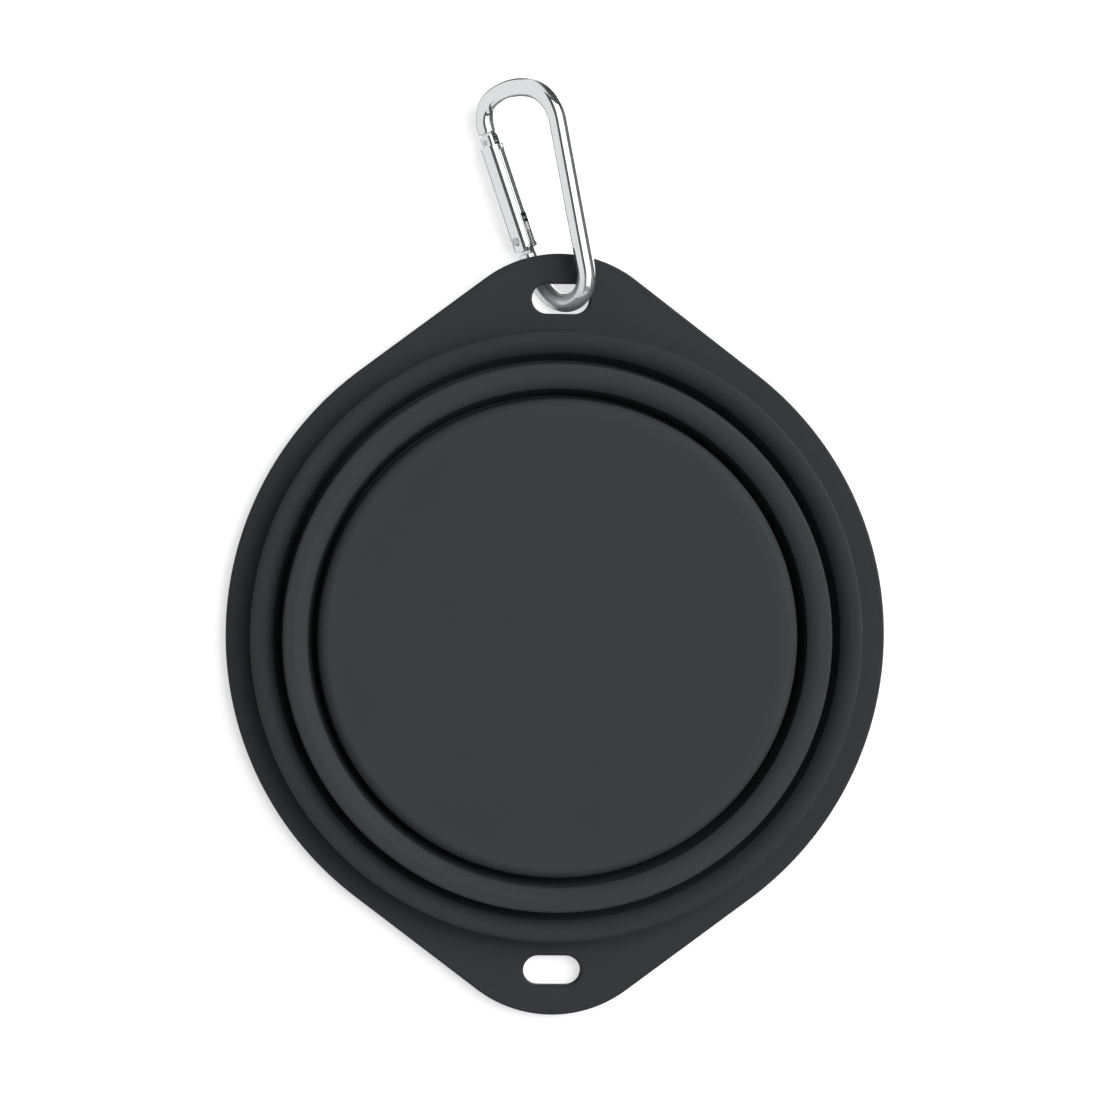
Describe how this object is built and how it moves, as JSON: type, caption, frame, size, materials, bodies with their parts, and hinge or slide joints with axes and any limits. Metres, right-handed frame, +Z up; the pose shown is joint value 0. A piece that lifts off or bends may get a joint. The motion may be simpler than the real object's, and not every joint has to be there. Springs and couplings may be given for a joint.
{
  "type": "collapsible bowl with carabiner",
  "caption": "Round silicone travel bowl that folds flat in telescoping rings, with a lugged rim and a sprung snap-hook through one lug's slot.",
  "frame": {"origin": "centre of the base's flat underside, where the bowl stands", "axes": "+Z up out of the bowl's mouth, +Y towards the lug that carries the carabiner, X across the bowl"},
  "size_m": [0.1302, 0.1846, 0.0192],
  "materials": {
    "silicone": "matte moulded silicone, charcoal grey",
    "polished_metal": "polished",
    "pin_steel": "plain drawn steel"
  },
  "bodies": {
    "base": {"base_cup": "silicone", "lower_fold_web": "silicone"},
    "middle": {"middle_band": "silicone", "upper_fold_web": "silicone"},
    "rim": {"rim_flange": "silicone"},
    "carabiner": {"carabiner_frame": "polished_metal"},
    "gate": {"carabiner_gate": "polished_metal", "gate_rivet": "pin_steel", "latch_pin": "pin_steel", "gate_spring": "pin_steel"},
    "plunger": {"spring_plunger": "pin_steel"}
  },
  "joints": [
    {"name": "lower_fold", "type": "slide", "parent": "base", "child": "middle", "axis": [0, 0, 1], "range_m": [0, 0.02], "deforming": ["lower_fold_web"]},
    {"name": "upper_fold", "type": "slide", "parent": "middle", "child": "rim", "axis": [0, 0, 1], "range_m": [0, 0.02], "deforming": ["upper_fold_web"]},
    {"name": "carabiner_swivel", "type": "hinge", "parent": "rim", "child": "carabiner", "pos_m": [-0.00021, 0.0718, 0.01084], "axis": [0.6787, -0.2098, -0.7039], "range_deg": [-4, 50]},
    {"name": "gate_hinge", "type": "hinge", "parent": "carabiner", "child": "gate", "pos_m": [0.00726, 0.07806, 0.01617], "axis": [-0.6787, 0.2098, 0.7039], "range_deg": [0, 25], "stiffness_Nm_per_rad": 0.02, "springref_deg": -17.19},
    {"name": "plunger_slide", "type": "slide", "parent": "gate", "child": "plunger", "axis": [0.3272, 0.9444, 0.034], "range_m": [0, 0.00062], "deforming": ["gate_spring"]}
  ],
  "couplings": [
    {"joint": "plunger_slide", "follows": "gate_hinge", "m_per_rad": 0.0014}
  ]
}
